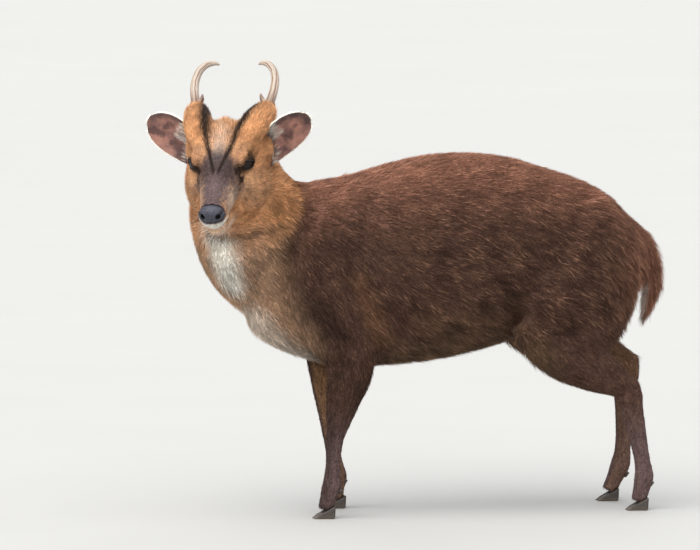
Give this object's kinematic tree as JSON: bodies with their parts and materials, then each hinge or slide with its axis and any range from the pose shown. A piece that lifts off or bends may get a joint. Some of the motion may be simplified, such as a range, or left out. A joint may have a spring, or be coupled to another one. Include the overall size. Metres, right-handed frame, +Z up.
{
  "type": "muntjac",
  "caption": "Muntjac buck, a still life-size model that stands side on, head turned to look at the viewer, with short hooked antlers.",
  "frame": {"origin": "middle of the model's box, on the floor under the hooves", "axes": "+X towards the tail, -Y towards the animal's left side, +Z up"},
  "size_m": [0.736, 0.2836, 0.6392],
  "materials": {
    "coat": "short dense hair, ticked chestnut brown on the body, ginger on head and neck, cream on the throat",
    "ear": "thin skin, sparsely haired, darker along the upper edge",
    "antler": "dull bone, grooved lengthwise, dark at base and tip",
    "nose": "damp black skin",
    "eye": "wet and glossy, nearly black",
    "hoof": "black horn, worn smooth"
  },
  "bodies": {
    "root": {"head": "coat", "lower_jaw": "coat", "neck": "coat", "chest": "coat", "barrel": "coat", "rump": "coat", "tail": "coat", "pedicle_left": "coat", "pedicle_right": "coat", "forearm_left": "coat", "fore_cannon_left": "coat", "fore_pastern_left": "coat", "shank_left": "coat", "hind_cannon_left": "coat", "hind_pastern_left": "coat", "forearm_right": "coat", "fore_cannon_right": "coat", "fore_pastern_right": "coat", "shank_right": "coat", "hind_cannon_right": "coat", "hind_pastern_right": "coat", "ear_left": "ear", "ear_right": "ear", "antler_left": "antler", "antler_right": "antler", "brow_tine_left": "antler", "brow_tine_right": "antler", "nose_pad": "nose", "eye_left": "eye", "eye_right": "eye", "claw_fore_left_inner": "hoof", "claw_fore_left_outer": "hoof", "claw_fore_right_inner": "hoof", "claw_fore_right_outer": "hoof", "claw_hind_left_inner": "hoof", "claw_hind_left_outer": "hoof", "claw_hind_right_inner": "hoof", "claw_hind_right_outer": "hoof"}
  },
  "joints": []
}
